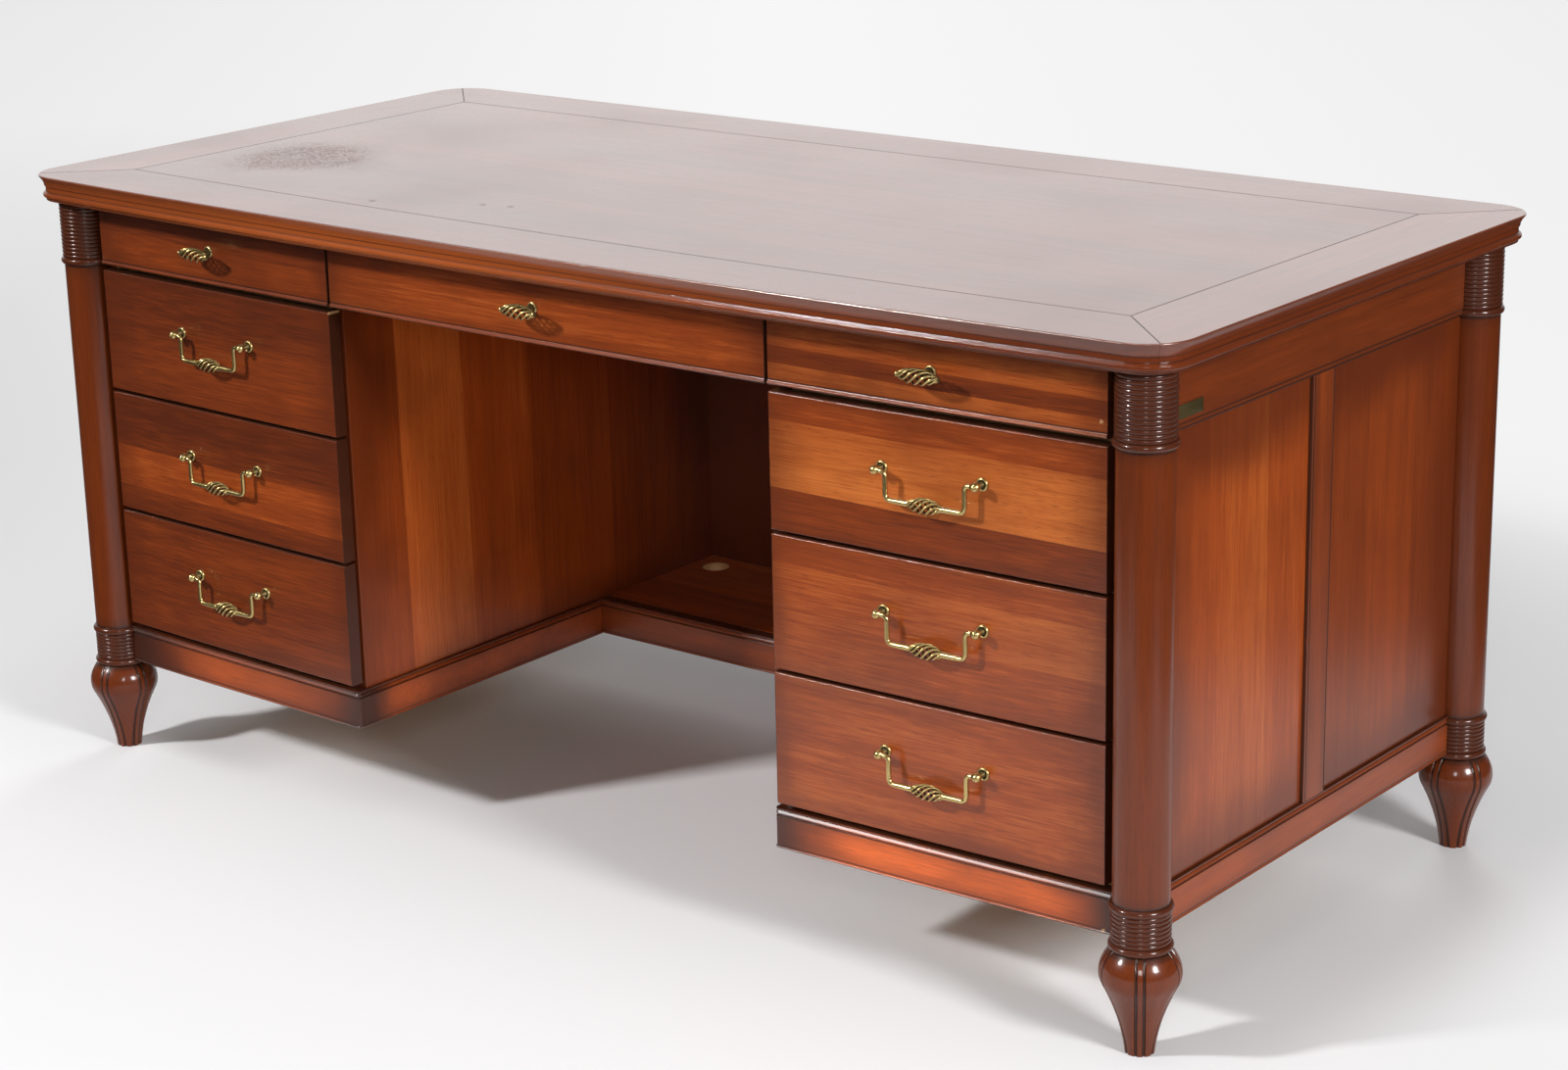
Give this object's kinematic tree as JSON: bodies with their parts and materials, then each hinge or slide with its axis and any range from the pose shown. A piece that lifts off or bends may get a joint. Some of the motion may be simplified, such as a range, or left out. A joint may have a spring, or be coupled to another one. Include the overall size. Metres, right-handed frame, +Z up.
{
  "type": "pedestal desk",
  "caption": "Bow-fronted wooden pedestal desk with a mitred top, turned corner posts, sliding drawers and swinging twisted-cage bail pulls around an open kneehole.",
  "frame": {"origin": "on the floor under the middle of the top", "axes": "+X to the right seen from the drawer side, -Y towards the sitter, +Z up"},
  "size_m": [1.676, 0.8119, 0.762],
  "materials": {
    "wood": "stained, semi-gloss lacquer",
    "inner_wood": "plain, unpolished",
    "brass": "antique, dark in the recesses"
  },
  "bodies": {
    "desk": {"top_panel": "wood", "top_border_front": "wood", "top_border_back": "wood", "top_border_left": "wood", "top_border_right": "wood", "post_front_left": "wood", "post_front_right": "wood", "post_back_left": "wood", "post_back_right": "wood", "side_frieze_left": "wood", "side_frieze_right": "wood", "side_base_rail_left": "wood", "side_base_rail_right": "wood", "side_muntins": "wood", "side_panels": "wood", "back_frieze": "wood", "back_base_rail": "wood", "back_panel": "wood", "knee_panel_left": "wood", "knee_panel_right": "wood", "pedestal_boards": "inner_wood", "pedestal_stiles": "wood", "middle_drawer_runners": "inner_wood", "plinth_left": "wood", "plinth_right": "wood", "knee_shelf": "wood", "knee_shelf_rail": "wood"},
    "drawer_left_bottom": {"drawer_left_bottom_front": "wood", "drawer_left_bottom_box": "inner_wood", "drawer_left_bottom_pull_posts": "brass"},
    "drawer_left_bottom_pull": {"drawer_left_bottom_bail": "brass"},
    "drawer_left_middle": {"drawer_left_middle_front": "wood", "drawer_left_middle_box": "inner_wood", "drawer_left_middle_pull_posts": "brass"},
    "drawer_left_middle_pull": {"drawer_left_middle_bail": "brass"},
    "drawer_left_top": {"drawer_left_top_front": "wood", "drawer_left_top_box": "inner_wood", "drawer_left_top_pull_posts": "brass"},
    "drawer_left_top_pull": {"drawer_left_top_bail": "brass"},
    "drawer_right_bottom": {"drawer_right_bottom_front": "wood", "drawer_right_bottom_box": "inner_wood", "drawer_right_bottom_pull_posts": "brass"},
    "drawer_right_bottom_pull": {"drawer_right_bottom_bail": "brass"},
    "drawer_right_middle": {"drawer_right_middle_front": "wood", "drawer_right_middle_box": "inner_wood", "drawer_right_middle_pull_posts": "brass"},
    "drawer_right_middle_pull": {"drawer_right_middle_bail": "brass"},
    "drawer_right_top": {"drawer_right_top_front": "wood", "drawer_right_top_box": "inner_wood", "drawer_right_top_pull_posts": "brass"},
    "drawer_right_top_pull": {"drawer_right_top_bail": "brass"},
    "frieze_drawer_left": {"frieze_drawer_left_front": "wood", "frieze_drawer_left_box": "inner_wood", "frieze_drawer_left_knob": "brass"},
    "frieze_drawer_middle": {"frieze_drawer_middle_front": "wood", "frieze_drawer_middle_box": "inner_wood", "frieze_drawer_middle_knob": "brass"},
    "frieze_drawer_right": {"frieze_drawer_right_front": "wood", "frieze_drawer_right_box": "inner_wood", "frieze_drawer_right_knob": "brass"}
  },
  "joints": [
    {"name": "drawer_left_bottom_slide", "type": "slide", "parent": "desk", "child": "drawer_left_bottom", "axis": [0, -1, 0], "range_m": [0, 0.42]},
    {"name": "drawer_left_bottom_pull_hinge", "type": "hinge", "parent": "drawer_left_bottom", "child": "drawer_left_bottom_pull", "pos_m": [-0.53916, -0.36552, 0.269], "axis": [-0.9995, 0.0314, 0], "range_deg": [-7, 187]},
    {"name": "drawer_left_middle_slide", "type": "slide", "parent": "desk", "child": "drawer_left_middle", "axis": [0, -1, 0], "range_m": [0, 0.42]},
    {"name": "drawer_left_middle_pull_hinge", "type": "hinge", "parent": "drawer_left_middle", "child": "drawer_left_middle_pull", "pos_m": [-0.53916, -0.36552, 0.4255], "axis": [-0.9995, 0.0314, 0], "range_deg": [-7, 187]},
    {"name": "drawer_left_top_slide", "type": "slide", "parent": "desk", "child": "drawer_left_top", "axis": [0, -1, 0], "range_m": [0, 0.42]},
    {"name": "drawer_left_top_pull_hinge", "type": "hinge", "parent": "drawer_left_top", "child": "drawer_left_top_pull", "pos_m": [-0.53916, -0.36552, 0.582], "axis": [-0.9995, 0.0314, 0], "range_deg": [-7, 187]},
    {"name": "drawer_right_bottom_slide", "type": "slide", "parent": "desk", "child": "drawer_right_bottom", "axis": [0, -1, 0], "range_m": [0, 0.42]},
    {"name": "drawer_right_bottom_pull_hinge", "type": "hinge", "parent": "drawer_right_bottom", "child": "drawer_right_bottom_pull", "pos_m": [0.53916, -0.36552, 0.269], "axis": [-0.9995, -0.0314, 0], "range_deg": [-7, 187]},
    {"name": "drawer_right_middle_slide", "type": "slide", "parent": "desk", "child": "drawer_right_middle", "axis": [0, -1, 0], "range_m": [0, 0.42]},
    {"name": "drawer_right_middle_pull_hinge", "type": "hinge", "parent": "drawer_right_middle", "child": "drawer_right_middle_pull", "pos_m": [0.53916, -0.36552, 0.4255], "axis": [-0.9995, -0.0314, 0], "range_deg": [-7, 187]},
    {"name": "drawer_right_top_slide", "type": "slide", "parent": "desk", "child": "drawer_right_top", "axis": [0, -1, 0], "range_m": [0, 0.42]},
    {"name": "drawer_right_top_pull_hinge", "type": "hinge", "parent": "drawer_right_top", "child": "drawer_right_top_pull", "pos_m": [0.53916, -0.36552, 0.582], "axis": [-0.9995, -0.0314, 0], "range_deg": [-7, 187]},
    {"name": "frieze_drawer_left_slide", "type": "slide", "parent": "desk", "child": "frieze_drawer_left", "axis": [0, -1, 0], "range_m": [0, 0.42]},
    {"name": "frieze_drawer_middle_slide", "type": "slide", "parent": "desk", "child": "frieze_drawer_middle", "axis": [0, -1, 0], "range_m": [0, 0.42]},
    {"name": "frieze_drawer_right_slide", "type": "slide", "parent": "desk", "child": "frieze_drawer_right", "axis": [0, -1, 0], "range_m": [0, 0.42]}
  ]
}
